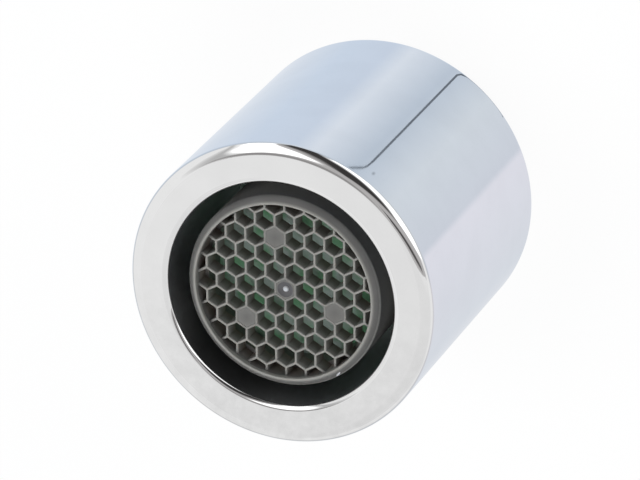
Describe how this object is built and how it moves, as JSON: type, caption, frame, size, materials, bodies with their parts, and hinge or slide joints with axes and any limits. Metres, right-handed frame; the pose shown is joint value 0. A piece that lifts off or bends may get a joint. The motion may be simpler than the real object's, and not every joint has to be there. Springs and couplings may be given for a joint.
{
  "type": "tap aerator",
  "caption": "Cylindrical chromed tap aerator with a female inlet thread and a recessed grey honeycomb outlet inside a wide bright ring.",
  "frame": {"origin": "centre of the inlet rim, the face it stands on", "axes": "+Z along the axis, from the inlet to the outlet; +X along a row of honeycomb cells"},
  "size_m": [0.024, 0.024, 0.023],
  "materials": {
    "chromed_brass": "polished chrome on brass",
    "grey_plastic": "satin moulded",
    "green_plastic": "satin moulded",
    "pale_plastic": "satin moulded",
    "black_rubber": "matt"
  },
  "bodies": {
    "root": {"housing": "chromed_brass", "inlet_washer": "black_rubber", "strainer": "green_plastic", "regulator_core": "pale_plastic", "regulator_ring": "black_rubber", "jet_plate": "pale_plastic", "insert_body": "green_plastic", "upper_screen": "green_plastic", "screen_spacer": "grey_plastic", "lower_screen": "green_plastic", "outlet_spacer": "grey_plastic", "honeycomb_cup": "grey_plastic"}
  },
  "joints": []
}
